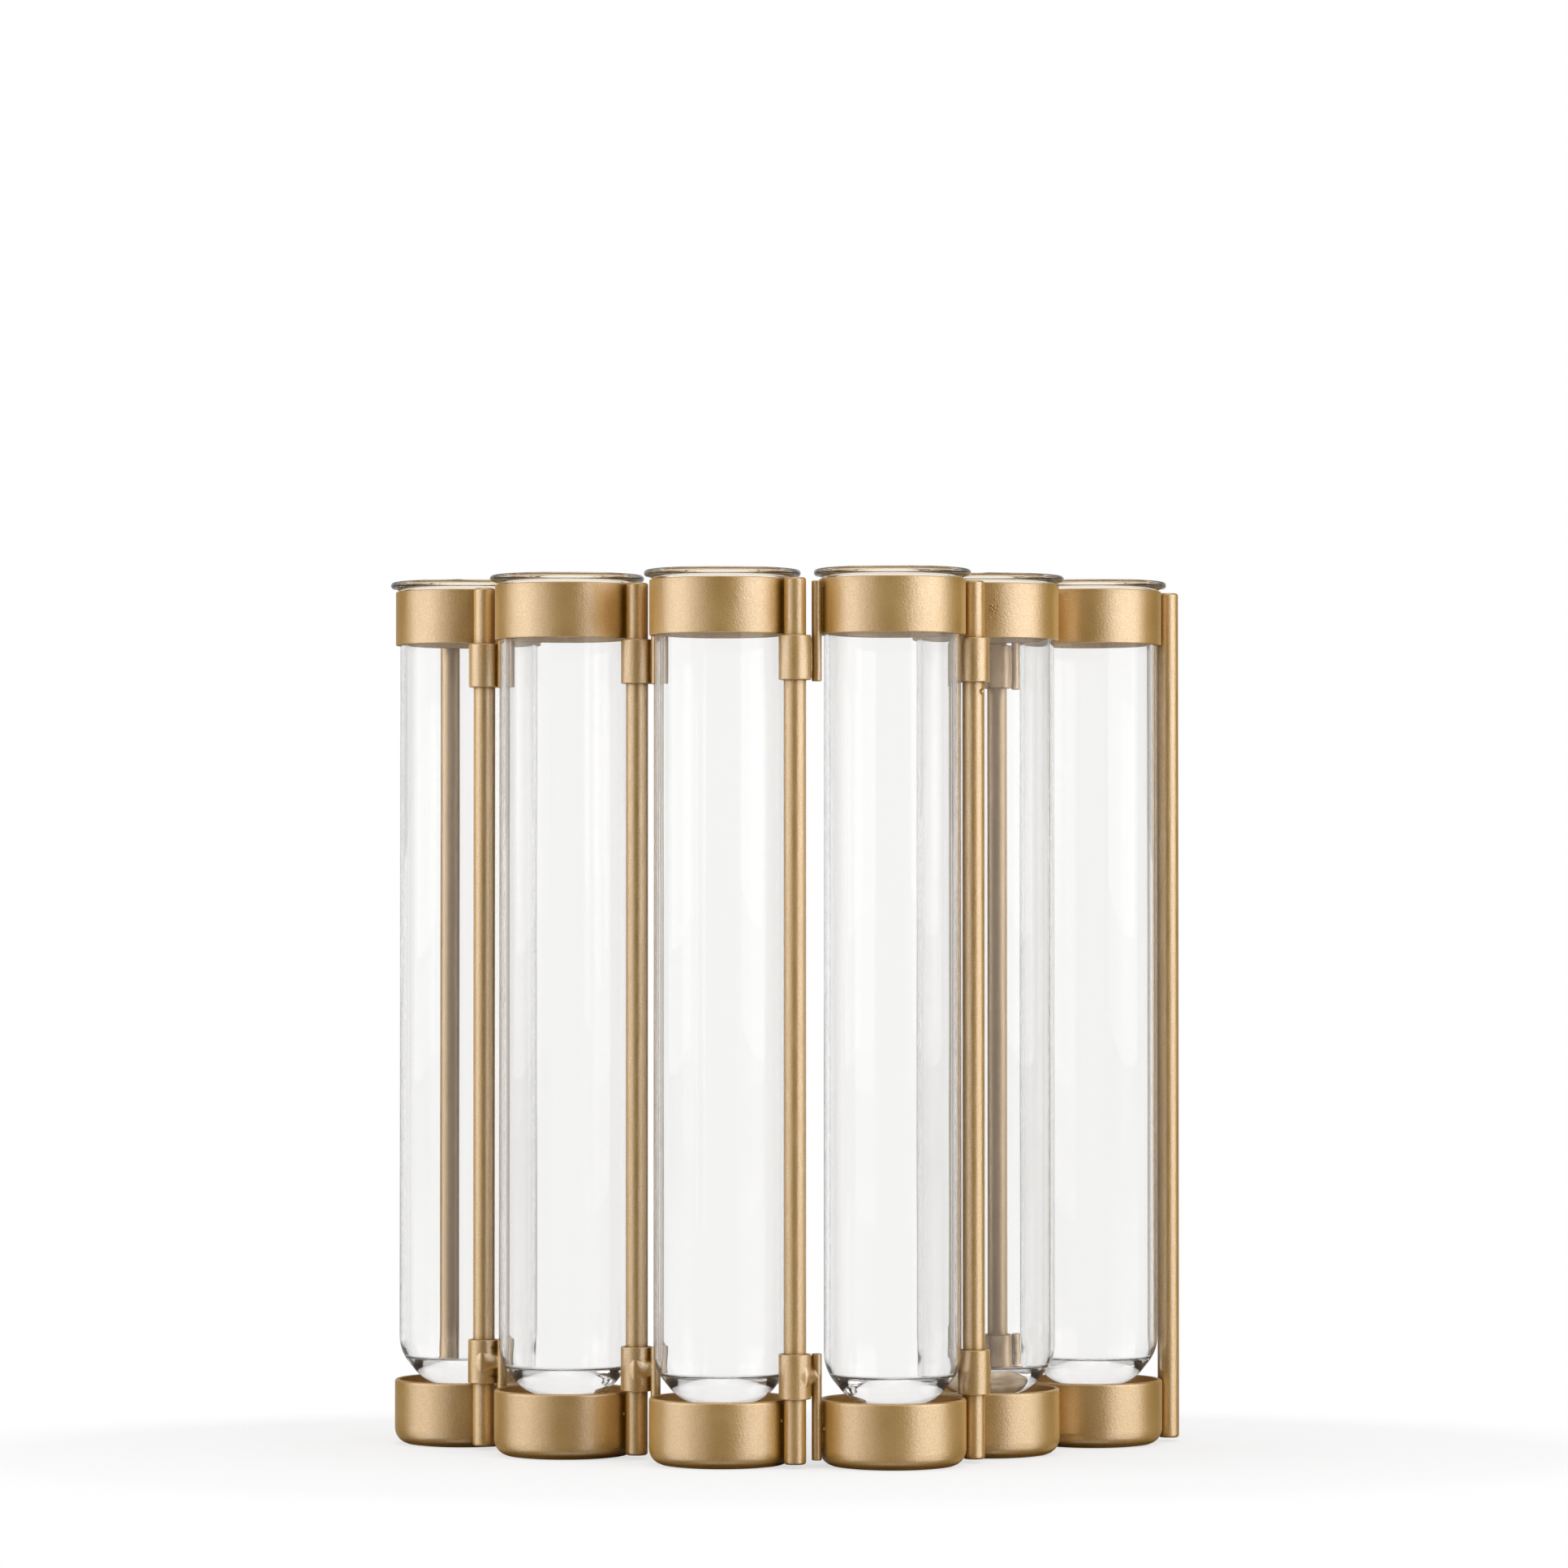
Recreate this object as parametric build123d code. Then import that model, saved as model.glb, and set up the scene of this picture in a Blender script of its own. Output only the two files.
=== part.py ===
from build123d import *
import os
from math import cos, radians, sin, sqrt

# Test tube vase: glass tubes hung in a folding row of ring-and-cup holders.
# Millimetres, +Z up. The origin is under the middle of the row, on the table.
# Each holder is drawn about its own tube axis, with its rod towards local +X,
# and is then turned and moved to its place in the row.

# Glass tube
TUBE_LENGTH = 150.0
TUBE_OD = 24.6
TUBE_WALL = 1.1
TUBE_FOOT_FLAT = 13.4
TUBE_TAPER_HEIGHT = 6.9
TUBE_FOOT_ROUND = 9.0
TUBE_SHOULDER_ROUND = 4.0
TUBE_FLOOR = 5.6
TUBE_FLOOR_DISH = 0.5
TUBE_FLOOR_CORNER = 1.8
LIP_OVERHANG = 1.8
LIP_THICKNESS = 1.2
TUBE_REACH_INTO_CUP = 1.7

# Top ring and foot cup
RING_CLEARANCE = 0.25
RING_WALL = 0.6
RING_HEIGHT = 10.0
RING_EDGE_ROUND = 0.2
CUP_HEIGHT = 12.0
CUP_WALL = 0.8
CUP_CORNER = 2.9
CUP_RIM_ROUND = 0.35
LIP_SEAT_GAP = 0.1

# Rods, bars and hinge sleeves
ROD_DIAMETER = 4.0
ROD_END_ROUND = 0.5
ROD_FOOT_GAP = 0.7
BAR_DIAMETER = 1.8
BAR_END_ROUND = 0.2
BAR_TOP_DROP = 0.5
BAR_FOOT_GAP = 1.3
BAR_OVERRUN = 0.2
SLEEVE_HEIGHT = 8.0
SLEEVE_WALL = 0.82
SLEEVE_EDGE_ROUND = 0.2
SLEEVE_CLEARANCE = 0.08
SLEEVE_END_PLAY = 0.3

# Weld beads
WELD_GAP = 0.3
ROD_WELD_HALF_WIDTH = 0.9
BAR_WELD_HALF_WIDTH = 0.6
WELD_END_INSET = 1.2
WELD_BLOB_RADIUS = 1.4
WELD_BLOB_SIDE = 1.3

# How the row stands: direction of the first holder's rod, then the fold at each hinge
FIRST_ROD_ANGLE = -75.0
HINGE_FOLDS = (42.0, 0.0, 51.0, 62.0, -62.0)

# Radii
tube_radius = TUBE_OD / 2
tube_bore_radius = tube_radius - TUBE_WALL
lip_radius = tube_radius + LIP_OVERHANG
flare_radius = LIP_OVERHANG - LIP_THICKNESS / 2
ring_bore_radius = tube_radius + RING_CLEARANCE
ring_radius = ring_bore_radius + RING_WALL
rod_radius = ROD_DIAMETER / 2
bar_radius = BAR_DIAMETER / 2
sleeve_bore_radius = rod_radius + SLEEVE_CLEARANCE
sleeve_radius = sleeve_bore_radius + SLEEVE_WALL

# Distances from a holder's tube axis
rod_offset = ring_radius + WELD_GAP + rod_radius
bar_offset = ring_radius + WELD_GAP + bar_radius
sleeve_offset = bar_offset + bar_radius + WELD_GAP + sleeve_radius

# Heights: the flare of the lip rests on the inner edge of the ring
tube_bottom = CUP_HEIGHT - TUBE_REACH_INTO_CUP
tube_top = tube_bottom + TUBE_LENGTH
lip_underside = tube_top - LIP_THICKNESS
flare_start = lip_underside - flare_radius
flare_seat = sqrt(flare_radius**2 - (flare_radius - RING_CLEARANCE) ** 2)
ring_top = flare_start + flare_seat - LIP_SEAT_GAP
ring_bottom = ring_top - RING_HEIGHT
upper_sleeve_top = ring_bottom - SLEEVE_END_PLAY
upper_sleeve_bottom = upper_sleeve_top - SLEEVE_HEIGHT
lower_sleeve_bottom = CUP_HEIGHT + SLEEVE_END_PLAY
lower_sleeve_top = lower_sleeve_bottom + SLEEVE_HEIGHT


def turned(profile):
    """A solid turned about the tube axis from a half profile in the XZ plane."""
    return revolve(Plane.XZ * profile, Axis.Z)


def round_bar(radius, x, bottom, top, end_round):
    """An upright round bar with softened ends, at local (x, 0)."""
    bar = Pos(x, 0, (bottom + top) / 2) * Cylinder(radius, top - bottom)
    return fillet(bar.edges().filter_by(GeomType.CIRCLE), end_round)


def nearest(profile, x, z):
    """The corner of a half profile at that place."""
    return profile.vertices().sort_by_distance((x, z))[0]


def glass_tube():
    """The straight wall and thick, tapered base of a tube, up to where its lip starts to flare."""
    foot = TUBE_FOOT_FLAT / 2
    taper_top = tube_bottom + TUBE_TAPER_HEIGHT
    inner_floor = tube_bottom + TUBE_FLOOR
    floor_edge = inner_floor + TUBE_FLOOR_DISH
    with BuildSketch() as profile:
        with BuildLine():
            Polyline(
                (0, inner_floor),
                (0, tube_bottom),
                (foot, tube_bottom),
                (tube_radius, taper_top),
                (tube_radius, flare_start),
                (tube_bore_radius, flare_start),
                (tube_bore_radius, floor_edge),
            )
            TangentArc((0, inner_floor), (tube_bore_radius, floor_edge), tangent=(1, 0))
        make_face()
        fillet(nearest(profile, foot, tube_bottom), TUBE_FOOT_ROUND)
        fillet(nearest(profile, tube_radius, taper_top), TUBE_SHOULDER_ROUND)
        fillet(nearest(profile, tube_bore_radius, floor_edge), TUBE_FLOOR_CORNER)
    return turned(profile.sketch)


def tube_lip():
    """The flared lip, of one glass with the wall below it, which it meets face to face."""
    edge = LIP_THICKNESS / 2
    lip_edge = lip_radius - edge
    mouth_edge = tube_bore_radius + edge
    edge_height = tube_top - edge
    with BuildSketch() as profile:
        with BuildLine():
            Line((tube_bore_radius, flare_start), (tube_radius, flare_start))
            CenterArc((tube_radius + flare_radius, flare_start), flare_radius, 90, 90)
            CenterArc((lip_edge, edge_height), edge, -90, 180)
            Line((lip_edge, tube_top), (mouth_edge, tube_top))
            CenterArc((mouth_edge, edge_height), edge, 90, 90)
            Line((tube_bore_radius, edge_height), (tube_bore_radius, flare_start))
        make_face()
    return turned(profile.sketch)


def top_ring():
    middle = Pos(ring_bore_radius + RING_WALL / 2, (ring_top + ring_bottom) / 2)
    return turned(middle * RectangleRounded(RING_WALL, RING_HEIGHT, RING_EDGE_ROUND))


def foot_cup():
    inner_radius = ring_radius - CUP_WALL
    outside = Pos(0, 0, CUP_HEIGHT / 2) * Cylinder(ring_radius, CUP_HEIGHT)
    outside = fillet(outside.edges().group_by(Axis.Z)[0], CUP_CORNER)
    hollow_height = CUP_HEIGHT - CUP_WALL
    hollow = Pos(0, 0, CUP_WALL + hollow_height / 2) * Cylinder(inner_radius, hollow_height)
    hollow = fillet(hollow.edges().group_by(Axis.Z)[0], CUP_CORNER - CUP_WALL)
    cup = outside - hollow
    return fillet(cup.edges().group_by(Axis.Z)[-1], CUP_RIM_ROUND)


def upright_rod(x):
    return round_bar(rod_radius, x, ROD_FOOT_GAP, ring_top, ROD_END_ROUND)


def hinge_sleeve(bottom):
    wall_middle = Pos(sleeve_bore_radius + SLEEVE_WALL / 2, bottom + SLEEVE_HEIGHT / 2)
    sleeve = turned(wall_middle * RectangleRounded(SLEEVE_WALL, SLEEVE_HEIGHT, SLEEVE_EDGE_ROUND))
    return Pos(-sleeve_offset, 0, 0) * sleeve


def upper_bar():
    bottom = upper_sleeve_bottom - BAR_OVERRUN
    return round_bar(bar_radius, -bar_offset, bottom, ring_top - BAR_TOP_DROP, BAR_END_ROUND)


def lower_bar():
    return round_bar(bar_radius, -bar_offset, BAR_FOOT_GAP, lower_sleeve_top, BAR_END_ROUND)


def weld_bead(x_a, radius_a, x_b, radius_b, half_width, bottom, top):
    """Metal that fills the crook between two upright round walls, A and B, side by side in X."""
    width = abs(x_b - x_a)
    block = Rectangle(width, 2 * half_width)
    crook = Pos((x_a + x_b) / 2, 0) * block - Pos(x_a, 0) * Circle(radius_a) - Pos(x_b, 0) * Circle(radius_b)
    return Pos(0, 0, bottom) * extrude(crook, top - bottom)


def rod_welds(x):
    """Beads that hold a rod to ring and cup."""
    wall = (0, ring_radius, x, rod_radius, ROD_WELD_HALF_WIDTH)
    at_ring = weld_bead(*wall, ring_bottom + WELD_END_INSET, ring_top - WELD_END_INSET)
    at_cup = weld_bead(*wall, CUP_CORNER + WELD_END_INSET, CUP_HEIGHT - WELD_END_INSET)
    return [at_ring, at_cup]


def bar_welds():
    """Beads that hold the short bars to ring, cup and sleeves."""
    wall = (0, ring_radius, -bar_offset, bar_radius, BAR_WELD_HALF_WIDTH)
    at_ring = weld_bead(*wall, ring_bottom + WELD_END_INSET, ring_top - WELD_END_INSET)
    at_cup = weld_bead(*wall, CUP_CORNER + WELD_END_INSET, CUP_HEIGHT - WELD_END_INSET)
    sleeve = (-bar_offset, bar_radius, -sleeve_offset, sleeve_radius, BAR_WELD_HALF_WIDTH)
    at_upper = weld_bead(*sleeve, upper_sleeve_bottom + WELD_END_INSET, upper_sleeve_top - WELD_END_INSET)
    at_lower = weld_bead(*sleeve, lower_sleeve_bottom + WELD_END_INSET, lower_sleeve_top - WELD_END_INSET)
    return [at_ring, at_cup, at_upper, at_lower + weld_blob()]


def weld_blob():
    """The thick drop of weld in the crook between lower sleeve and bar."""
    between = -(bar_offset + bar_radius + WELD_GAP / 2)
    middle = (lower_sleeve_bottom + lower_sleeve_top) / 2
    blob = Pos(between, -WELD_BLOB_SIDE, middle) * Sphere(WELD_BLOB_RADIUS)
    tall = 4 * WELD_BLOB_RADIUS
    sleeve = Pos(-sleeve_offset, 0, middle) * Cylinder(sleeve_radius, tall)
    bar = Pos(-bar_offset, 0, middle) * Cylinder(bar_radius, tall)
    return blob - sleeve - bar


def along(angle, distance):
    """A step in the plan, in the direction of an angle."""
    return Vector(distance * cos(radians(angle)), distance * sin(radians(angle)))


def row_places():
    """Tube axis and rod direction of each holder, with the row centred on the origin."""
    angles = [FIRST_ROD_ANGLE]
    for fold in HINGE_FOLDS:
        angles.append(angles[-1] + fold)
    centres = [Vector(0, 0)]
    for here, following in zip(angles, angles[1:]):
        hinge = centres[-1] + along(here, rod_offset)
        centres.append(hinge + along(following, sleeve_offset))
    rods = [centre + along(angle, rod_offset) for centre, angle in zip(centres, angles)]
    end_rods = [centres[0] - along(angles[0], rod_offset), rods[-1]]
    outline = [(centre, lip_radius) for centre in centres]
    outline += [(rod, sleeve_radius) for rod in rods[:-1]]
    outline += [(rod, rod_radius) for rod in end_rods]
    low = Vector(min(p.X - r for p, r in outline), min(p.Y - r for p, r in outline))
    high = Vector(max(p.X + r for p, r in outline), max(p.Y + r for p, r in outline))
    middle = (low + high) / 2
    return [Location(tuple(c - middle), (0, 0, angle)) for c, angle in zip(centres, angles)]


def save(shape, name):
    export_step(shape, f"parts/{name}.step")


def main():
    os.makedirs("parts", exist_ok=True)
    places = row_places()
    last = len(places)
    left_end_rod = upright_rod(-rod_offset)
    rod = upright_rod(rod_offset)
    hinge_half = {
        "upper_bar": upper_bar(),
        "upper_sleeve": hinge_sleeve(upper_sleeve_bottom),
        "lower_bar": lower_bar(),
        "lower_sleeve": hinge_sleeve(lower_sleeve_bottom),
    }
    holder = {
        "top_ring": top_ring(),
        "foot_cup": foot_cup(),
        "glass_tube": glass_tube(),
        "tube_lip": tube_lip(),
    }
    for number, place in enumerate(places, start=1):
        pieces = dict(holder)
        welds = rod_welds(rod_offset)
        if number == 1:
            save(place * left_end_rod, "end_rod_left")
            welds += rod_welds(-rod_offset)
        else:
            pieces.update(hinge_half)
            welds += bar_welds()
        save(place * rod, "end_rod_right" if number == last else f"hinge_rod_{number}")
        pieces["weld_beads"] = Compound(welds)
        for name, shape in pieces.items():
            save(place * shape, f"{name}_{number}")


main()
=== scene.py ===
import math

import bmesh
import bpy
from mathutils import Matrix, Vector, noise


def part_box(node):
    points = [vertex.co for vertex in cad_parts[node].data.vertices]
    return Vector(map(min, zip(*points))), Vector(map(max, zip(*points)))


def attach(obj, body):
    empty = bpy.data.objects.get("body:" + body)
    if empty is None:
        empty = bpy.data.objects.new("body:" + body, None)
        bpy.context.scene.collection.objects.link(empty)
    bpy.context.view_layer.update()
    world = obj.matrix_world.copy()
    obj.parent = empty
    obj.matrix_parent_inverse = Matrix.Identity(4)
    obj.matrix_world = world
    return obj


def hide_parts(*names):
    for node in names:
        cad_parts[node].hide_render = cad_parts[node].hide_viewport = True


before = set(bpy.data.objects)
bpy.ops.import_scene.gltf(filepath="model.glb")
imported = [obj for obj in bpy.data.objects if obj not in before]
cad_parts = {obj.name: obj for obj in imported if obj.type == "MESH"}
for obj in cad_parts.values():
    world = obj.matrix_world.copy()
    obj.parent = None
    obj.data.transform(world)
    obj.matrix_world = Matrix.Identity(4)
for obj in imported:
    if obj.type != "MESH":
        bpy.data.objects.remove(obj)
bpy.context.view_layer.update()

# A folding row of gold-painted holders with a glass test tube in each.
# Places and outer sizes come from the frame. Sizes here are in metres, angles in degrees.
MM = 0.001
FIRST = 1
LAST = 6

# Walls and roundings that the frame's boxes don't tell
GLASS_WALL = 1.1 * MM
GLASS_FOOT_FLAT = 13.4 * MM
GLASS_TAPER_HEIGHT = 6.9 * MM
GLASS_FOOT_ROUND = 9.0 * MM
GLASS_SHOULDER_ROUND = 8.0 * MM
GLASS_FLOOR = 5.6 * MM
GLASS_FLOOR_DISH = 0.3 * MM
GLASS_FLOOR_CORNER = 0.7 * MM
LIP_THICKNESS = 1.2 * MM
RING_WALL = 0.6 * MM
RING_EDGE_ROUND = 0.2 * MM
CUP_WALL = 0.8 * MM
CUP_CORNER = 2.9 * MM
CUP_RIM_ROUND = 0.5 * MM
ROD_END_ROUND = 0.5 * MM
BAR_END_ROUND = 0.2 * MM
SLEEVE_WALL = 0.82 * MM
SLEEVE_EDGE_ROUND = 0.2 * MM
SLEEVE_MOUTH_ROUND = 0.4 * MM

# Fineness of the meshes
WIDE_STEPS = 144
SLEEVE_STEPS = 64
BAR_STEPS = 40
ARC_STEPS = 6
GUARD = 0.04 * MM
WELD_ROW = 0.16 * MM
WELD_COLUMNS = 9
SUNK = 0.03 * MM
NECK_ROWS = 48
NECK_STEPS = 44

# Runs of weld: reach out of the crook, swell, and what stays bare below and above
ROD_TO_RING = {"reach": 0.14 * MM, "swell": 0.0, "bare_below": 0.8 * MM, "bare_above": 1.0 * MM}
ROD_TO_CUP = {"reach": 0.14 * MM, "swell": 0.0, "bare_below": 0.6 * MM, "bare_above": 0.8 * MM}
BAR_TO_RING = {"reach": 0.28 * MM, "swell": 0.04 * MM, "bare_below": 0.5 * MM, "bare_above": 1.4 * MM}
BAR_TO_CUP = {"reach": 0.28 * MM, "swell": 0.05 * MM, "bare_below": 0.4 * MM, "bare_above": 0.5 * MM}
BAR_TO_UPPER_SLEEVE = {"reach": 0.18 * MM, "swell": 0.0, "bare_below": 0.5 * MM, "bare_above": 0.4 * MM}
BAR_TO_LOWER_SLEEVE = {"reach": 0.3 * MM, "swell": 0.0, "bare_below": 0.4 * MM, "bare_above": 0.4 * MM}
WELD_END_SHARE = 0.2
WELD_WAVE = 0.7
WELD_WAVE_LENGTH = 1.3 * MM
WELD_RIPPLE = 0.35
WELD_RIPPLE_LENGTH = 0.5 * MM
WELD_LUMPS = 0.5
STEEPEST_REACH = 0.9

# Weld necks at the lower sleeves: half heights, and shares of the way from sleeve to bar
NECK_HALF_HEIGHT = 2.6 * MM
NECK_ROOT_HALF_HEIGHT = 4.9 * MM
NECK_HALF_HEIGHT_LOSS = 3.5 * MM
NECK_LOWEST_AT = 0.85
NECK_SLIMS_FROM = 0.24
NECK_LUMP = 0.14 * MM
NECK_LUMP_AT = 0.45
NECK_LUMP_SPREAD = 0.28

# Single drops of weld metal: radii, places on their walls, and height as a share of the cup
ROD_DROP = 0.4 * MM
ROD_DROP_SHARE = 0.66
BAR_DROP = 0.34 * MM
BAR_DROP_SHARE = 0.55
DROP_SHARE_SPREAD = 0.2
CROOK_DROP_SEAT = 0.45 * MM
NUB_ROD = 4
NUB_RADIUS = 0.5 * MM
NUB_TURN = -44
NUB_BELOW_SLEEVE = 1.7 * MM
SPATTERED_RING = 5
SPATTER_COUNT = 22
SPATTER_TURN = -87
SPATTER_TURN_SPREAD = 9
SPATTER_HEIGHT_SPREAD = 3.2 * MM
SPECK = 0.16 * MM
SPECK_SPREAD = 0.14 * MM

# Paint
GOLD_DEEP = (0.70, 0.375, 0.034, 1.0)
GOLD_LIGHT = (0.74, 0.405, 0.044, 1.0)
# Painted shade: the dark colour the gold turns towards in crooks between parts
GOLD_PAINTED_CROOK_SHADE = (0.22, 0.095, 0.006, 1.0)
PEARL_DEEP = (0.91, 0.845, 0.74, 1.0)
PEARL_LIGHT = (0.98, 0.925, 0.86, 1.0)
PEARL_SHARE = 0.28
PEARL_SHARE_OF_FLAKE = 0.14
FLAKE_SIZE = 0.2 * MM
FLAKE_LUMPS = 0.12
CLOUD_SIZE = 7 * MM
PEEL_SIZE = 0.38 * MM
PEEL_DEPTH = 0.036 * MM
# How far ambient occlusion looks for crooks, and how strongly painted shade darkens them
CROOK_DEPTH = 1.8 * MM
CROOK_SHADE = 0.85
PAINT_GLOSS = 0.35
PAINT_LUMPS = 1.0
WELD_PAINT_GLOSS = 0.28
WELD_PAINT_LUMPS = 0.6

# Glass
GLASS_CLEAR = (0.992, 0.99, 0.986, 1.0)
# Painted reflection: the warm colour of the gold ring, put into the glass near the lip
GLASS_LIP_PAINTED_REFLECTION = (0.955, 0.885, 0.77, 1.0)
GLASS_GLINT = (0.4, 0.4, 0.4, 1.0)
GLASS_BODY = (0.80, 0.79, 0.76, 1.0)
GLASS_BODY_DENSITY = 6.0
# Below the lip top: where the painted reflection of the ring starts, and where it is full
LIP_REFLECTION_STARTS = 2.8 * MM
LIP_REFLECTION_FULL = 1.3 * MM
DRAW_LINE_WIDTH = 3 * MM
DRAW_LINE_STRETCH = (1, 1, 0.03)
DRAW_LINE_DEPTH = 0.01 * MM
FILM_SIZE = 12 * MM

# How bright the studio is, where white is 1
STUDIO_FILL = 0.42
STUDIO_DARK = 0.03
BACKDROP_GLOSS = 0.55
BACKDROP_EDGE = (0.70, 0.93)
GLASS_SIDES = 0.70
GLASS_BACK = 1.0
WHITE = (1.0, 1.0, 1.0, 1.0)

# Floor: the soft shadow fades out between two reaches, which are longer to the sides
FLOOR_RADIUS = 4.0
FLOOR_STEPS = 96
FLOOR_PAPER = (0.95, 0.95, 0.95, 1.0)
FLOOR_IN_REFLECTIONS = (0.40, 0.40, 0.40, 1.0)
FLOOR_POLISH = (0.8, 0.8, 0.8, 1.0)
FLOOR_POLISH_SHARE = 0.85
FLOOR_POLISH_ROUGHNESS = 0.1
FLOOR_LEAST_WHITE = 0.66
SHADOW_FADES_FROM = 45 * MM
SHADOW_FADES_TO = 110 * MM
SHADOW_STRETCH = (0.6, 1, 0)

# Camera and lamps
CAMERA_SPOT = Vector((-9.4, -1096.3, 99.8)) * MM
CAMERA_AIM = Vector((-0.4, 0.0, 122.3)) * MM
CAMERA_LENS = 137.4
LAMP_AIM = Vector((0.0, 0.0, 100.0)) * MM


class Value:
    """An output of a shader tree that Python expressions can work with."""

    def __init__(self, tree, socket):
        self.tree = tree
        self.socket = socket

    def math(self, operation, first, second):
        return self.tree.add("ShaderNodeMath", {"operation": operation}, {0: first, 1: second})

    def __add__(self, other):
        return self.math("ADD", self, other)

    def __radd__(self, other):
        return self.math("ADD", other, self)

    def __sub__(self, other):
        return self.math("SUBTRACT", self, other)

    def __rsub__(self, other):
        return self.math("SUBTRACT", other, self)

    def __mul__(self, other):
        return self.math("MULTIPLY", self, other)

    def __rmul__(self, other):
        return self.math("MULTIPLY", other, self)

    def at_least(self, other):
        return self.math("MAXIMUM", self, other)


class ShaderTree:
    """The nodes of one material or of the world."""

    def __init__(self, owner):
        owner.use_nodes = True
        self.nodes = owner.node_tree.nodes
        self.links = owner.node_tree.links
        self.nodes.clear()

    def add(self, kind, settings=None, sockets=None, output=0):
        """A node of that type: settings first, then values or links of its sockets."""
        node = self.nodes.new(kind)
        for name, value in (settings or {}).items():
            setattr(node, name, value)
        for name, value in (sockets or {}).items():
            if isinstance(value, Value):
                self.links.new(value.socket, node.inputs[name])
            else:
                node.inputs[name].default_value = value
        return Value(self, node.outputs[output]) if node.outputs else None

    def place(self, stretch=(1, 1, 1)):
        """Where a point lies on the piece, in metres, with each axis stretched."""
        spot = self.add("ShaderNodeTexCoord", output="Object")
        return self.add("ShaderNodeVectorMath", {"operation": "MULTIPLY"}, {0: spot, 1: stretch})

    def grain(self, size, detail=2.0, stretch=(1, 1, 1)):
        """Noise from 0 to 1 with grains of about that size."""
        sockets = {"Vector": self.place(stretch), "Scale": 1 / size, "Detail": detail}
        return self.add("ShaderNodeTexNoise", None, sockets)

    def ramp(self, value, low, high):
        """0 below low, 1 above high, with a soft step between."""
        settings = {"interpolation_type": "SMOOTHSTEP"}
        return self.add("ShaderNodeMapRange", settings, {"Value": value, 1: low, 2: high})

    def mix(self, factor, first, second):
        """One colour over another."""
        return self.add("ShaderNodeMix", {"data_type": "RGBA"}, {0: factor, 6: first, 7: second}, 2)

    def bump(self, height, distance, strength=1.0):
        sockets = {"Height": height, "Distance": distance, "Strength": strength}
        return self.add("ShaderNodeBump", None, sockets)

    def finish(self, surface, target="ShaderNodeOutputMaterial", volume=None):
        sockets = {"Surface": surface}
        if volume:
            sockets["Volume"] = volume
        self.add(target, None, sockets)


def gold_paint(name, gloss, lumps):
    """Champagne-gold spray paint: gold under a pearl gloss, with painted shade that darkens the gold and
    weakens the gloss in crooks, and a faint orange peel.
    """
    material = bpy.data.materials.new(name)
    tree = ShaderTree(material)
    flake = tree.ramp(tree.grain(FLAKE_SIZE, 1.0), 0.35, 0.68)
    cloud = tree.ramp(tree.grain(CLOUD_SIZE), 0.3, 0.7)
    peel = tree.grain(PEEL_SIZE, 1.0)
    normal = tree.bump(peel * lumps + flake * FLAKE_LUMPS, PEEL_DEPTH)
    # Painted shade: ambient occlusion finds the crooks between parts, where the gold is darkened towards a
    # deep brown
    open_air = tree.add("ShaderNodeAmbientOcclusion", {"samples": 4}, {"Distance": CROOK_DEPTH}, "AO")
    painted_crook_shade = (1 - tree.ramp(open_air, 0.32, 0.95)) * tree.ramp(open_air, 0.0, 0.2)
    gold = tree.mix(cloud, GOLD_DEEP, GOLD_LIGHT)
    pigment = {
        "Base Color": tree.mix(CROOK_SHADE * painted_crook_shade, gold, GOLD_PAINTED_CROOK_SHADE),
        "Metallic": 0.5,
        "Roughness": 0.50 + 0.06 * cloud,
        "Specular IOR Level": 0.15,
        "Normal": normal,
    }
    pearl = {
        "Base Color": tree.mix(flake, PEARL_DEEP, PEARL_LIGHT),
        "Metallic": 1.0,
        "Roughness": gloss + 0.05 * cloud,
        "Normal": normal,
    }
    under, over = [tree.add("ShaderNodeBsdfPrincipled", None, sockets) for sockets in (pigment, pearl)]
    # Painted shade also weakens the pearl gloss in the crooks
    share = (PEARL_SHARE + PEARL_SHARE_OF_FLAKE * flake) * (1 - CROOK_SHADE * painted_crook_shade)
    tree.finish(tree.add("ShaderNodeMixShader", None, {0: share, 1: under, 2: over}))
    return material


def clear_glass():
    """Drawn tube glass: clear, with the faintest lengthwise draw lines, and a warm colour at the lip that
    is a painted reflection of the gold ring beneath it.
    """
    material = bpy.data.materials.new("clear_tube_glass")
    tree = ShaderTree(material)
    draw_lines = tree.grain(DRAW_LINE_WIDTH, 2.0, DRAW_LINE_STRETCH)
    film = tree.ramp(tree.grain(FILM_SIZE), 0.45, 0.8)
    height = tree.add("ShaderNodeSeparateXYZ", None, {0: tree.place()}, "Z")
    _, _, _, lip_top = axis_of(f"tube_lip_{FIRST}")
    # Painted reflection of the gold ring: the glass turns warm just under the lip top
    painted_lip_reflection = tree.ramp(height, lip_top - LIP_REFLECTION_STARTS, lip_top - LIP_REFLECTION_FULL)
    sockets = {
        "Base Color": tree.mix(painted_lip_reflection, GLASS_CLEAR, GLASS_LIP_PAINTED_REFLECTION),
        "Specular Tint": GLASS_GLINT,
        "Roughness": 0.012 * film,
        "IOR": 1.47,
        "Transmission Weight": 0.965,
        "Normal": tree.bump(draw_lines, DRAW_LINE_DEPTH),
    }
    surface = tree.add("ShaderNodeBsdfPrincipled", None, sockets)
    absorb = {"Color": GLASS_BODY, "Density": GLASS_BODY_DENSITY}
    tree.finish(surface, volume=tree.add("ShaderNodeVolumeAbsorption", None, absorb))
    return material


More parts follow.
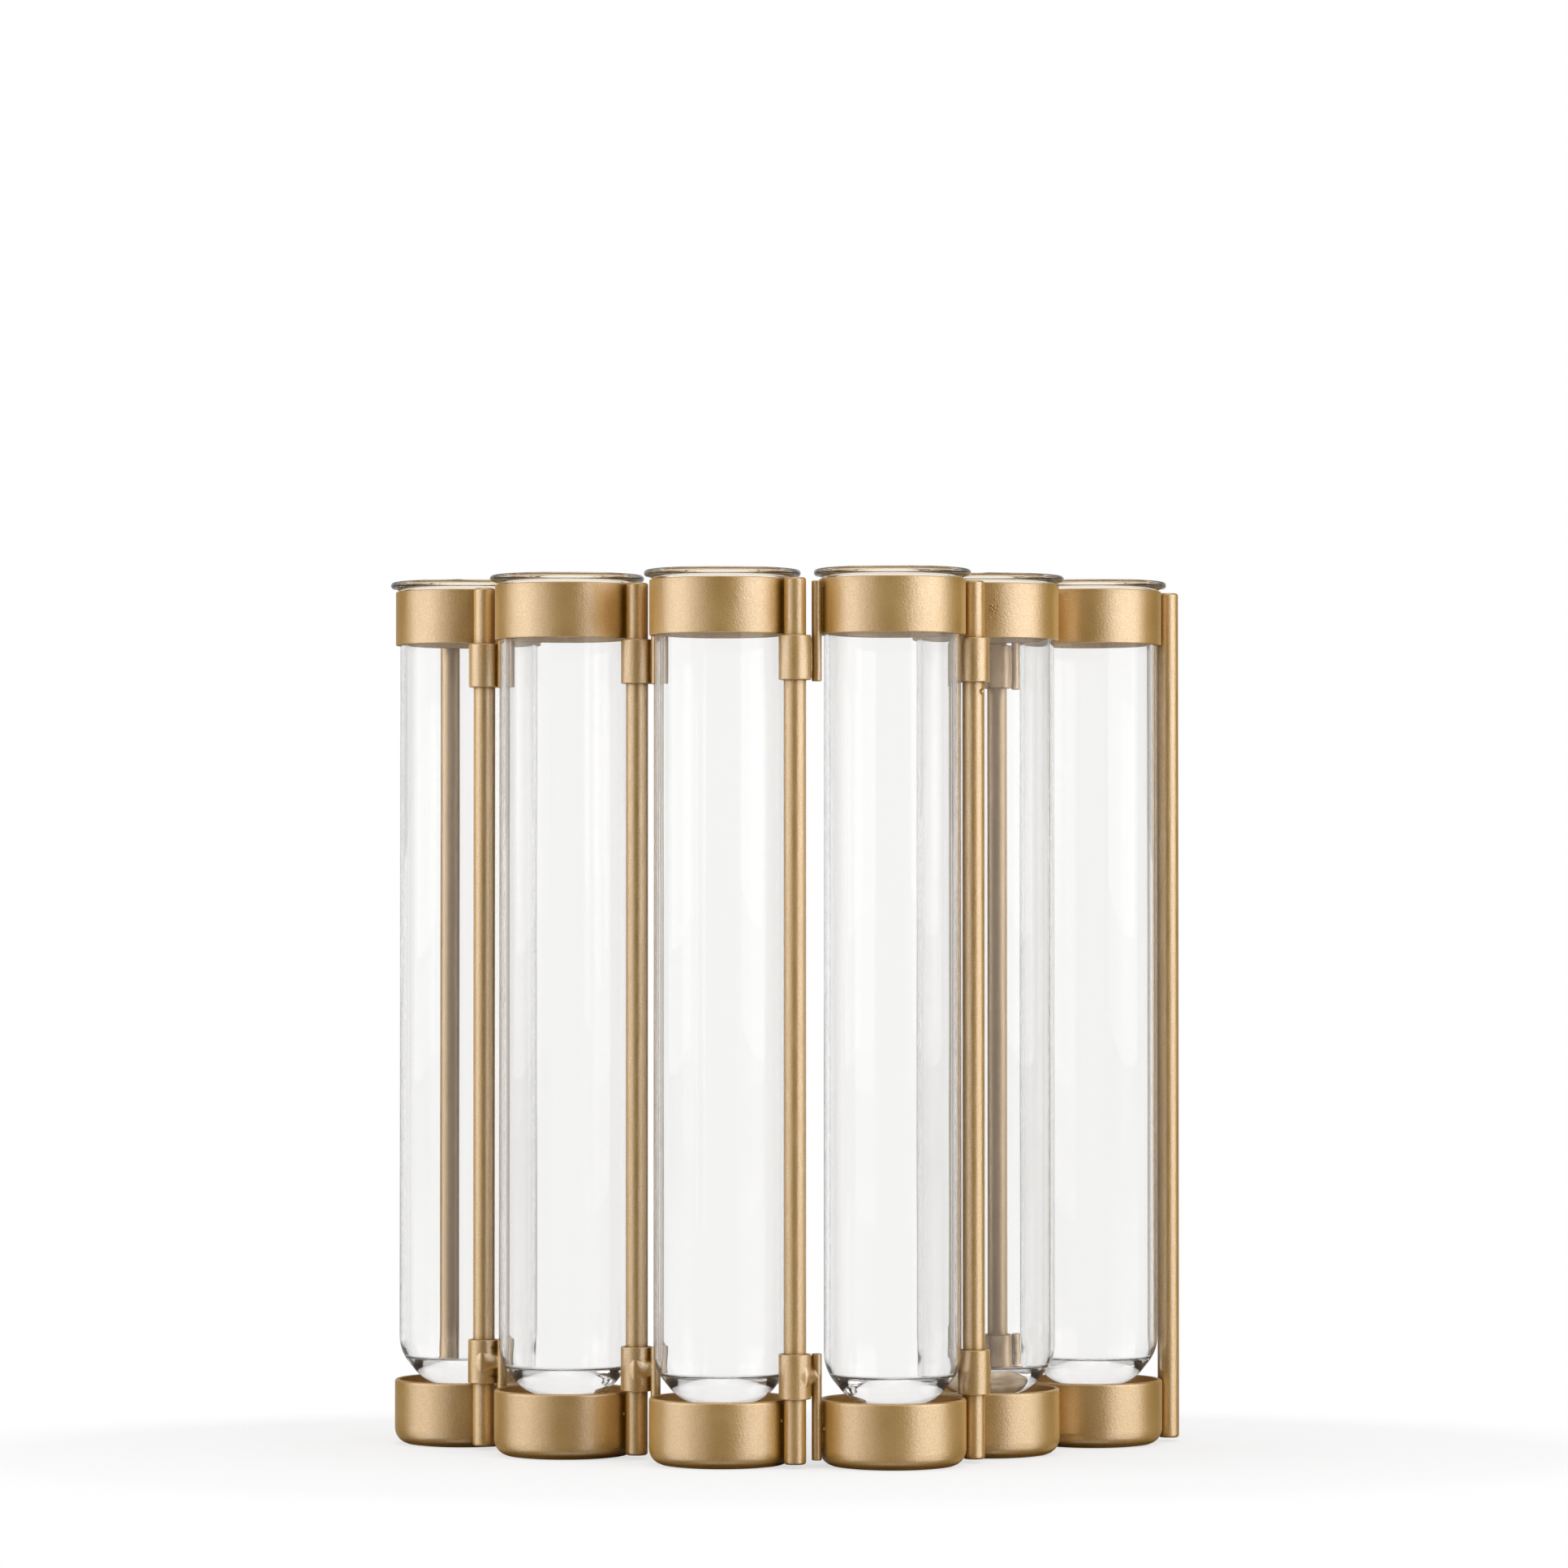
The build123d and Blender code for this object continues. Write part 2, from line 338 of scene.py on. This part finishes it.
def rounded(corners, closed=True, steps=ARC_STEPS):
    """Outline through (radius, height, rounding) corners, with an arc at each rounded one."""
    points = []
    count = len(corners)
    for index, (x, z, rounding) in enumerate(corners):
        here = Vector((x, z))
        if not rounding or (not closed and index in (0, count - 1)):
            points.append(here)
            continue
        back = (Vector(corners[index - 1][:2]) - here).normalized()
        ahead = (Vector(corners[(index + 1) % count][:2]) - here).normalized()
        half = back.angle(ahead) / 2
        run = rounding / math.tan(half)
        middle = here + (back + ahead).normalized() * (rounding / math.sin(half))
        start = here + back * run - middle
        end = here + ahead * run - middle
        points.append(here + back * (run + GUARD))
        for step in range(steps + 1):
            points.append(middle + start.slerp(end, step / steps) * rounding)
        points.append(here + ahead * (run + GUARD))
    return points


def arc(middle, radius, start, sweep, steps=10):
    """Points of an arc, angles in degrees from outwards, turning upwards."""
    angles = [math.radians(start + sweep * step / steps) for step in range(steps + 1)]
    return [Vector((middle[0] + radius * math.cos(a), middle[1] + radius * math.sin(a))) for a in angles]


def piece_from(mesh, name, material):
    """A smooth-shaded object from finished mesh work."""
    bmesh.ops.recalc_face_normals(mesh, faces=mesh.faces)
    data = bpy.data.meshes.new(name)
    mesh.to_mesh(data)
    mesh.free()
    for face in data.polygons:
        face.use_smooth = True
    data.materials.append(material)
    piece = bpy.data.objects.new(name, data)
    bpy.context.scene.collection.objects.link(piece)
    return piece


def turned(name, outline, centre, steps, material):
    """A piece turned about an upright axis from an outline of (radius, height) points."""
    mesh = bmesh.new()
    turns = [math.tau * step / steps for step in range(steps)]
    rows = []
    for radius, height in outline:
        spokes = turns if radius > SUNK / 10 else [0.0]
        rows.append([
            mesh.verts.new((centre.x + radius * math.cos(a), centre.y + radius * math.sin(a), height))
            for a in spokes
        ])
    pairs = list(zip(rows, rows[1:]))
    if len(rows[0]) > 1:
        pairs.append((rows[-1], rows[0]))
    for low, high in pairs:
        for here in range(steps):
            ahead = (here + 1) % steps
            if len(low) == 1:
                mesh.faces.new((low[0], high[ahead], high[here]))
            elif len(high) == 1:
                mesh.faces.new((low[here], low[ahead], high[0]))
            else:
                mesh.faces.new((low[here], low[ahead], high[ahead], high[here]))
    return piece_from(mesh, name, material)


def axis_of(node):
    """Middle of an upright round node in the plan, its radius, and its bottom and top."""
    low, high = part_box(node)
    return (low + high) / 2, (high.x - low.x) / 2, low.z, high.z


def put(piece, nodes, body):
    """The piece takes the place of CAD nodes and moves with their body."""
    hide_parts(*nodes)
    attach(piece, body)


def glass_tube(number, material):
    """Wall, thick tapered base and flared lip, blown as one piece."""
    wall, lip = f"glass_tube_{number}", f"tube_lip_{number}"
    centre, radius, bottom, flare_start = axis_of(wall)
    _, lip_radius, _, top = axis_of(lip)
    bore = radius - GLASS_WALL
    edge = LIP_THICKNESS / 2
    flare = top - LIP_THICKNESS - flare_start
    corners = [
        (0.0, bottom, 0.0),
        (GLASS_FOOT_FLAT / 2, bottom, GLASS_FOOT_ROUND),
        (radius, bottom + GLASS_TAPER_HEIGHT, GLASS_SHOULDER_ROUND),
        (radius, flare_start, 0.0),
    ]
    outline = rounded(corners, False, 16)
    outline += arc((radius + flare, flare_start), flare, 180, -90)[1:]
    outline += arc((lip_radius - edge, top - edge), edge, -90, 180)[1:]
    outline += arc((bore + edge, top - edge), edge, 90, 90)
    outline += inner_floor(bore, bottom + GLASS_FLOOR)
    piece = turned(f"{wall}_blown", outline, centre, WIDE_STEPS, material)
    put(piece, (wall, lip), f"tube_{number}")


def inner_floor(bore, lowest):
    """Dished floor inside a tube, from its wall in to the axis."""
    dish = (bore ** 2 + GLASS_FLOOR_DISH ** 2) / (2 * GLASS_FLOOR_DISH)
    aside = bore - GLASS_FLOOR_CORNER
    fall = math.sqrt((dish - GLASS_FLOOR_CORNER) ** 2 - aside ** 2)
    turn = -math.degrees(math.atan2(fall, aside))
    corner = arc((aside, lowest + dish - fall), GLASS_FLOOR_CORNER, 0, turn, 14)
    floor = arc((0.0, lowest + dish), dish, turn, -90 - turn, 16)
    return corner + floor[1:-1] + [Vector((0.0, lowest))]


def top_ring(number, material):
    """Thin rolled band round the tube, under its lip."""
    node = f"top_ring_{number}"
    centre, radius, bottom, top = axis_of(node)
    bore = radius - RING_WALL
    corners = [(radius, bottom), (radius, top), (bore, top), (bore, bottom)]
    outline = rounded([(r, z, RING_EDGE_ROUND) for r, z in corners])
    piece = turned(f"{node}_rolled", outline, centre, WIDE_STEPS, material)
    put(piece, [node], f"holder_{number}")


def foot_cup(number, material):
    """Drawn cup with a rounded bottom edge, the foot of one unit."""
    node = f"foot_cup_{number}"
    centre, radius, bottom, top = axis_of(node)
    inside = radius - CUP_WALL
    corners = [
        (0.0, bottom, 0.0),
        (radius, bottom, CUP_CORNER),
        (radius, top, CUP_RIM_ROUND),
        (inside, top, CUP_WALL - CUP_RIM_ROUND - 2 * GUARD),
        (inside, bottom + CUP_WALL, CUP_CORNER - CUP_WALL),
        (0.0, bottom + CUP_WALL, 0.0),
    ]
    piece = turned(f"{node}_drawn", rounded(corners, False), centre, WIDE_STEPS, material)
    put(piece, [node], f"holder_{number}")


def round_bar(node, number, end_round, steps, material):
    """Upright rod or short bar with rounded ends."""
    centre, radius, bottom, top = axis_of(node)
    corners = [
        (0.0, bottom, 0.0),
        (radius, bottom, end_round),
        (radius, top, end_round),
        (0.0, top, 0.0),
    ]
    piece = turned(f"{node}_cut", rounded(corners, False), centre, steps, material)
    put(piece, [node], f"holder_{number}")


def hinge_sleeve(node, number, material):
    """Short bored sleeve that turns on the neighbour's rod."""
    centre, radius, bottom, top = axis_of(node)
    bore = radius - SLEEVE_WALL
    corners = [
        (radius, bottom, SLEEVE_EDGE_ROUND),
        (radius, top, SLEEVE_EDGE_ROUND),
        (bore, top, SLEEVE_MOUTH_ROUND),
        (bore, bottom, SLEEVE_MOUTH_ROUND),
    ]
    piece = turned(f"{node}_bored", rounded(corners), centre, SLEEVE_STEPS, material)
    put(piece, [node], f"holder_{number}")


def ragged(height, seed, size):
    """Uneven value from -1 to 1 along a weld."""
    return noise.noise(Vector((height / size, seed * 7.3, 1.7 * seed)))


def crook(spot_a, spot_b, side):
    """Directions in the plan from A to B, and out of the crook between them."""
    across = Vector((spot_b.x - spot_a.x, spot_b.y - spot_a.y, 0)).normalized()
    return across, Vector((across.y, -across.x, 0)) * side


def skin(mesh, rows):
    """Faces round and between closed rows of points, with both ends capped."""
    width = len(rows[0])
    for low, high in zip(rows, rows[1:]):
        for here in range(width):
            ahead = (here + 1) % width
            mesh.faces.new((low[here], low[ahead], high[ahead], high[here]))
    mesh.faces.new(rows[0])
    mesh.faces.new(rows[-1])


def weld(mesh, wall_a, wall_b, side, ends, seed, reach, swell, bare_below, bare_above):
    """Ragged weld metal in the crook between two upright round walls, on one side of them."""
    (spot_a, radius_a), (spot_b, radius_b) = wall_a, wall_b
    across, out = crook(spot_a, spot_b, side)
    bottom, top = ends[0] + bare_below, ends[1] - bare_above
    count = max(6, round((top - bottom) / WELD_ROW))
    rows = []
    for row in range(count + 1):
        share = row / count
        height = bottom + (top - bottom) * share
        taper = min(1.0, share / WELD_END_SHARE, (1 - share) / WELD_END_SHARE) ** 0.5
        wave = WELD_WAVE * ragged(height, seed, WELD_WAVE_LENGTH)
        ripple = WELD_RIPPLE * ragged(height, seed + 9, WELD_RIPPLE_LENGTH)
        half_width = reach * (1 + wave + ripple) * taper
        angle_a = math.asin(min(STEEPEST_REACH, half_width / radius_a))
        angle_b = math.asin(min(STEEPEST_REACH, half_width / radius_b))
        depth_a, depth_b = radius_a - SUNK, radius_b - SUNK
        foot_a = spot_a + across * (depth_a * math.cos(angle_a)) + out * (depth_a * math.sin(angle_a))
        foot_b = spot_b - across * (depth_b * math.cos(angle_b)) + out * (depth_b * math.sin(angle_b))
        line = [spot_a + across * (radius_a - 4 * SUNK)]
        for column in range(WELD_COLUMNS):
            along = column / (WELD_COLUMNS - 1)
            lump = 1 + WELD_LUMPS * ragged(height + along * 3 * MM, seed + 4, WELD_RIPPLE_LENGTH)
            arch = 4 * along * (1 - along)
            line.append(foot_a.lerp(foot_b, along) + out * (swell * lump * taper * arch))
        line.append(spot_b - across * (radius_b - 4 * SUNK))
        rows.append([mesh.verts.new((p.x, p.y, height)) for p in line])
    skin(mesh, rows)


def soft_step(value):
    """0 below 0, 1 above 1, with a soft step between."""
    share = min(1.0, max(0.0, value))
    return share * share * (3 - 2 * share)


def neck_reach(along, span, sleeve_radius, bar_radius):
    """Reach of the weld neck out of the plane of both axes, its half height, and the wall under it."""
    share = along / span
    slim = soft_step((share - NECK_SLIMS_FROM) / (1 - NECK_SLIMS_FROM))
    lump = NECK_LUMP * math.exp(-((share - NECK_LUMP_AT) / NECK_LUMP_SPREAD) ** 2)
    width = sleeve_radius + (bar_radius - sleeve_radius) * slim + lump - 0.5 * SUNK
    tall = NECK_ROOT_HALF_HEIGHT - NECK_HALF_HEIGHT_LOSS * soft_step(share / NECK_LOWEST_AT)
    under_sleeve = math.sqrt(max(0.0, sleeve_radius ** 2 - along ** 2))
    under_bar = math.sqrt(max(0.0, bar_radius ** 2 - (span - along) ** 2))
    return width, tall, max(0.0, max(under_sleeve, under_bar) - SUNK)


def weld_neck(mesh, sleeve, bar, height):
    """Smooth lump of weld that bridges lower sleeve and bar, wide on the sleeve, narrow at the bar."""
    (sleeve_spot, sleeve_radius), (bar_spot, bar_radius) = sleeve, bar
    across, out = crook(sleeve_spot, bar_spot, 1)
    span = (bar_spot - sleeve_spot).to_2d().length
    hidden = sleeve_radius - 0.3 * SLEEVE_WALL
    rows = []
    for row in range(NECK_ROWS + 1):
        rise = -NECK_HALF_HEIGHT * math.cos(math.pi * row / NECK_ROWS)
        plan = [(hidden, 0.0), (hidden * math.sqrt(0.5), hidden * math.sqrt(0.5))]
        for column in range(NECK_STEPS + 1):
            along = span * column / NECK_STEPS
            width, tall, under = neck_reach(along, span, sleeve_radius, bar_radius)
            girth = math.sqrt(max(0.0, 1 - (rise / tall) ** 2))
            plan.append((along, max(under, width * girth)))
        plan.append((span - 0.7 * bar_radius, 0.0))
        spots = [sleeve_spot + across * along + out * aside for along, aside in plan]
        rows.append([mesh.verts.new((spot.x, spot.y, height + rise)) for spot in spots])
    skin(mesh, rows)


def weld_drop(mesh, spot, radius):
    """A frozen drop of weld metal."""
    bmesh.ops.create_icosphere(mesh, subdivisions=3, radius=radius, matrix=Matrix.Translation(spot))


def crook_drop(mesh, wall_a, wall_b, height, radius):
    """A drop in the crook between two upright round walls, on the side that faces the camera."""
    across, out = crook(wall_a[0], wall_b[0], 1)
    out = out if out.y < 0 else -out
    spot = wall_a[0] + across * wall_a[1] + out * (CROOK_DROP_SEAT + 0.5 * radius)
    weld_drop(mesh, (spot.x, spot.y, height), radius)


def wall_drop(mesh, wall, turn, height, size):
    """A drop on a round wall, turn in degrees."""
    spot, radius = wall
    angle = math.radians(turn)
    weld_drop(mesh, (spot.x + radius * math.cos(angle), spot.y + radius * math.sin(angle), height), size)


def spatter(mesh, wall, height, seed):
    """Specks of weld strewn over a patch of a round wall."""
    for index in range(SPATTER_COUNT):
        turn = SPATTER_TURN + SPATTER_TURN_SPREAD * ragged(index, seed, 0.37)
        level = height + SPATTER_HEIGHT_SPREAD * ragged(index, seed + 3, 0.41)
        size = SPECK + SPECK_SPREAD * ragged(index, seed + 5, 0.43)
        wall_drop(mesh, wall, turn, level, size)


def weld_beads(number, rods, material):
    """All the welds of one holder, as one piece. The cup is as wide as the ring."""
    mesh = bmesh.new()
    ring_spot, ring_radius, *ring_ends = axis_of(f"top_ring_{number}")
    _, _, _, cup_top = axis_of(f"foot_cup_{number}")
    ring = (ring_spot, ring_radius)
    cup_ends = (CUP_CORNER, cup_top)
    seed = 10.0 * number
    for rod in rods:
        wall = axis_of(rod)[:2]
        drop_share = ROD_DROP_SHARE + DROP_SHARE_SPREAD * ragged(number, seed, 0.39)
        crook_drop(mesh, ring, wall, drop_share * cup_top, ROD_DROP)
        for side in (-1, 1):
            seed += 1
            weld(mesh, ring, wall, side, ring_ends, seed, **ROD_TO_RING)
            weld(mesh, ring, wall, side, cup_ends, seed + 40, **ROD_TO_CUP)
    if number > FIRST:
        bar = axis_of(f"upper_bar_{number}")[:2]
        sleeve_spot, sleeve_radius, *upper_ends = axis_of(f"upper_sleeve_{number}")
        _, _, *lower_ends = axis_of(f"lower_sleeve_{number}")
        sleeve = (sleeve_spot, sleeve_radius)
        for side in (-1, 1):
            seed += 1
            weld(mesh, ring, bar, side, ring_ends, seed, **BAR_TO_RING)
            weld(mesh, ring, bar, side, cup_ends, seed + 40, **BAR_TO_CUP)
            weld(mesh, sleeve, bar, side, upper_ends, seed + 60, **BAR_TO_UPPER_SLEEVE)
        weld(mesh, sleeve, bar, -1, lower_ends, seed + 80, **BAR_TO_LOWER_SLEEVE)
        weld_neck(mesh, sleeve, bar, sum(lower_ends) / 2)
        drop_share = BAR_DROP_SHARE + DROP_SHARE_SPREAD * ragged(number, seed, 0.37)
        crook_drop(mesh, ring, bar, drop_share * cup_top, BAR_DROP)
    if number == SPATTERED_RING:
        spatter(mesh, ring, sum(ring_ends) / 2, seed)
    if number == NUB_ROD:
        wall = axis_of(f"hinge_rod_{number}")[:2]
        wall_drop(mesh, wall, NUB_TURN, upper_ends[0] - NUB_BELOW_SLEEVE, NUB_RADIUS)
    piece = piece_from(mesh, f"weld_beads_{number}_run", material)
    put(piece, [f"weld_beads_{number}"], f"holder_{number}")


def ray_is(tree, kind):
    """1 for light rays of that kind, else 0."""
    return tree.add("ShaderNodeLightPath", output=f"Is {kind} Ray")


def floor():
    """White floor that keeps the soft shadow and runs out into the white backdrop."""
    mesh = bmesh.new()
    bmesh.ops.create_circle(mesh, cap_ends=True, segments=FLOOR_STEPS, radius=FLOOR_RADIUS)
    material = bpy.data.materials.new("white_floor")
    piece = piece_from(mesh, "floor", material)
    tree = ShaderTree(material)
    spot = tree.place(SHADOW_STRETCH)
    reach = tree.add("ShaderNodeVectorMath", {"operation": "LENGTH"}, {0: spot}, "Value")
    near_sight = ray_is(tree, "Camera").at_least(ray_is(tree, "Transmission"))
    glossy = ray_is(tree, "Glossy")
    white = tree.ramp(reach, SHADOW_FADES_FROM, SHADOW_FADES_TO).at_least(FLOOR_LEAST_WHITE) * near_sight
    paper = tree.mix(near_sight, FLOOR_IN_REFLECTIONS, FLOOR_PAPER)
    matt = tree.add("ShaderNodeBsdfDiffuse", None, {"Color": paper})
    gloss = {"Color": FLOOR_POLISH, "Roughness": FLOOR_POLISH_ROUGHNESS}
    polish = tree.add("ShaderNodeBsdfGlossy", None, gloss)
    surface = tree.add("ShaderNodeMixShader", None, {0: FLOOR_POLISH_SHARE * glossy, 1: matt, 2: polish})
    glow = tree.add("ShaderNodeEmission", None, {"Color": WHITE, "Strength": 1.0})
    tree.finish(tree.add("ShaderNodeMixShader", None, {0: white, 1: surface, 2: glow}))


def studio_world():
    """White backdrop, with a dimmer studio beside it and behind the camera."""
    world = bpy.data.worlds.new("studio")
    bpy.context.scene.world = world
    tree = ShaderTree(world)
    way = tree.add("ShaderNodeTexCoord", output="Generated")
    depth = tree.add("ShaderNodeSeparateXYZ", None, {0: way}, "Y")
    behind = tree.ramp(depth, *BACKDROP_EDGE)
    ahead = tree.ramp(0 - depth, *BACKDROP_EDGE)
    glossy = ray_is(tree, "Glossy")
    around = STUDIO_FILL + glossy * (STUDIO_DARK - STUDIO_FILL + (BACKDROP_GLOSS - STUDIO_DARK) * behind)
    through = GLASS_SIDES + (GLASS_BACK - GLASS_SIDES) * behind.at_least(ahead)
    level = around.at_least(through * ray_is(tree, "Transmission")).at_least(ray_is(tree, "Camera"))
    glow = tree.add("ShaderNodeBackground", None, {"Color": WHITE, "Strength": level})
    tree.finish(glow, "ShaderNodeOutputWorld")


def soft_box(name, place, width, height, power):
    """A large soft lamp turned to the object, in metres and watts."""
    lamp = bpy.data.lights.new(name, "AREA")
    lamp.shape = "RECTANGLE"
    lamp.size = width
    lamp.size_y = height
    lamp.energy = power
    light = bpy.data.objects.new(name, lamp)
    light.location = place
    light.rotation_mode = "QUATERNION"
    light.rotation_quaternion = (LAMP_AIM - Vector(place)).to_track_quat("-Z", "Y")
    bpy.context.scene.collection.objects.link(light)


def photo_camera():
    """Camera a little over a metre in front, above mid-height, tipped up slightly."""
    data = bpy.data.cameras.new("photo_camera")
    data.sensor_width = 36.0
    data.lens = CAMERA_LENS
    data.clip_start = 0.01
    camera = bpy.data.objects.new("photo_camera", data)
    camera.location = CAMERA_SPOT
    camera.rotation_mode = "QUATERNION"
    camera.rotation_quaternion = (CAMERA_AIM - CAMERA_SPOT).to_track_quat("-Z", "Y")
    bpy.context.scene.collection.objects.link(camera)
    bpy.context.scene.camera = camera


paint = gold_paint("champagne_gold_paint", PAINT_GLOSS, PAINT_LUMPS)
weld_paint = gold_paint("painted_weld", WELD_PAINT_GLOSS, WELD_PAINT_LUMPS)
glass = clear_glass()
for number in range(FIRST, LAST + 1):
    glass_tube(number, glass)
    top_ring(number, paint)
    foot_cup(number, paint)
    rods = [f"hinge_rod_{number}"] if number < LAST else ["end_rod_right"]
    if number == FIRST:
        rods.append("end_rod_left")
    for rod in rods:
        round_bar(rod, number, ROD_END_ROUND, SLEEVE_STEPS, paint)
    if number > FIRST:
        for level in ("upper", "lower"):
            round_bar(f"{level}_bar_{number}", number, BAR_END_ROUND, BAR_STEPS, paint)
            hinge_sleeve(f"{level}_sleeve_{number}", number, paint)
    weld_beads(number, rods, weld_paint)

floor()
studio_world()
soft_box("right_box", (0.81, -0.49, 0.40), width=1.10, height=0.80, power=5.7)
soft_box("left_box", (-0.93, -0.20, 0.40), width=0.85, height=0.80, power=3.6)
soft_box("left_front_box", (-0.66, -0.68, 0.40), width=0.55, height=0.80, power=1.1)
soft_box("top_box", (0.0, -0.05, 1.15), width=1.0, height=1.0, power=3.6)
photo_camera()
bpy.context.scene.view_settings.view_transform = "Standard"
